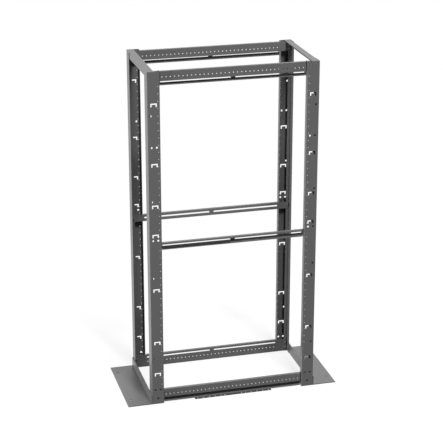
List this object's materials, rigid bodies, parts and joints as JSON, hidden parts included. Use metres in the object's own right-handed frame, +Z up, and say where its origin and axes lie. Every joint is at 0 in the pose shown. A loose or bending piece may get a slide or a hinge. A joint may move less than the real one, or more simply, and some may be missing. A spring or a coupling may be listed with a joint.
{
  "type": "four-post open frame rack",
  "caption": "Tall open steel frame rack: folded posts with rows of mounting holes, slotted cross beams at top, middle and bottom, and wide base angles for bolting to the floor.",
  "frame": {"origin": "on the floor, in the middle of the footprint", "axes": "+Z up along the posts, +X to the right seen from the front, +Y towards the rear"},
  "size_m": [1.3588, 0.5778, 2.1336],
  "materials": {
    "frame_steel": "fine textured dark grey paint",
    "bar_steel": "satin black paint"
  },
  "bodies": {
    "root": {"post_front_left": "frame_steel", "post_front_right": "frame_steel", "post_rear_left": "frame_steel", "post_rear_right": "frame_steel", "stiffener_front_left": "frame_steel", "stiffener_front_right": "frame_steel", "stiffener_rear_left": "frame_steel", "stiffener_rear_right": "frame_steel", "beam_top_front": "frame_steel", "beam_top_rear": "frame_steel", "beam_mid_front": "frame_steel", "beam_mid_rear": "frame_steel", "beam_bottom_front": "frame_steel", "beam_bottom_rear": "frame_steel", "side_angle_left": "frame_steel", "side_angle_right": "frame_steel", "base_angle_left": "frame_steel", "base_angle_right": "frame_steel", "grounding_bar": "bar_steel", "sill_plate": "bar_steel"}
  },
  "joints": []
}
